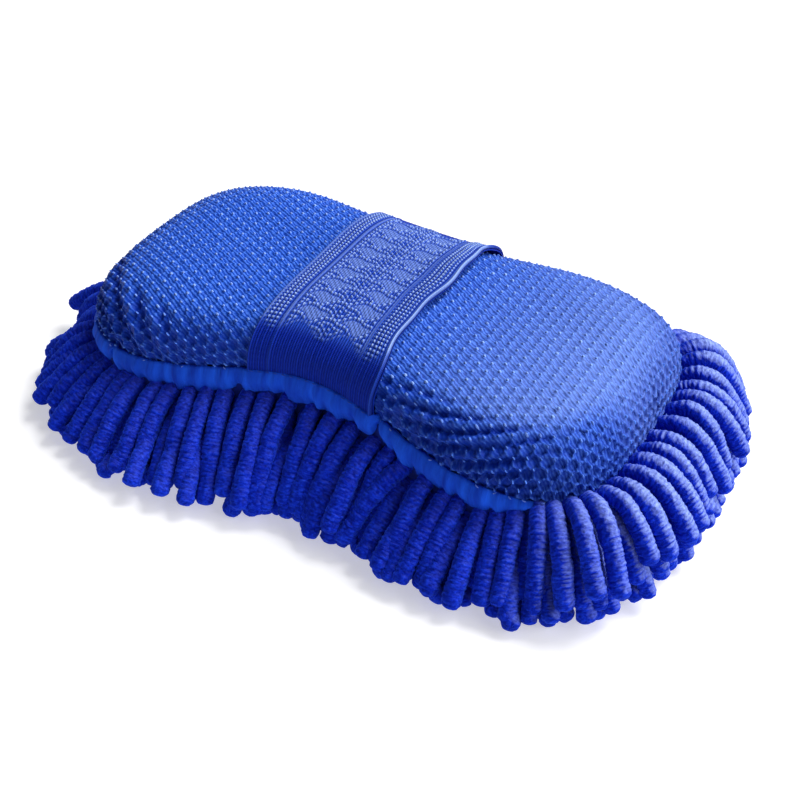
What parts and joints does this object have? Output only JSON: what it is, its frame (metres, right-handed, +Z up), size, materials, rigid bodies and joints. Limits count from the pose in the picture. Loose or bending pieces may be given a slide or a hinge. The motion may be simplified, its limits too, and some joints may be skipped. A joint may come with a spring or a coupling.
{
  "type": "wash mitt",
  "caption": "Waisted sponge car-wash mitt with a net-covered top, an elastic hand strap over its waist and a skirt and sole of chenille fingers.",
  "frame": {"origin": "centre of the underside, on the surface that the mitt lies on", "axes": "+X along the mitt's length, +Y across it, +Z up out of the net-covered top"},
  "size_m": [0.2656, 0.152, 0.0668],
  "materials": {
    "foam": "open-cell sponge",
    "net": "knitted air-mesh net",
    "band": "plain knit",
    "chenille": "chenille pile",
    "elastic": "woven elastic with a raised pattern",
    "thread": "polyester thread"
  },
  "bodies": {
    "mitt": {"base_cloth": "chenille", "edge_band": "band", "edge_fingers_back": "chenille", "edge_fingers_front": "chenille", "edge_fingers_left": "chenille", "edge_fingers_right": "chenille", "foam_core": "foam", "lower_fingers_back": "chenille", "lower_fingers_front": "chenille", "lower_fingers_left": "chenille", "lower_fingers_right": "chenille", "mesh_cover": "net", "seam_thread": "thread", "strap_side_back": "elastic", "strap_side_front": "elastic", "strap_tack_back": "thread", "strap_tack_front": "thread", "under_fingers_inner_back": "chenille", "under_fingers_inner_front": "chenille", "under_fingers_outer_back": "chenille", "under_fingers_outer_front": "chenille", "upper_fingers_back": "chenille", "upper_fingers_front": "chenille", "upper_fingers_left": "chenille", "upper_fingers_right": "chenille"},
    "strap": {"hand_strap": "elastic"}
  },
  "joints": [
    {"name": "strap_lift", "type": "slide", "parent": "mitt", "child": "strap", "axis": [0, 0, 1], "range_m": [0, 0.025], "stiffness_N_per_m": 250, "deforming": ["strap_side_back", "strap_side_front"]}
  ]
}
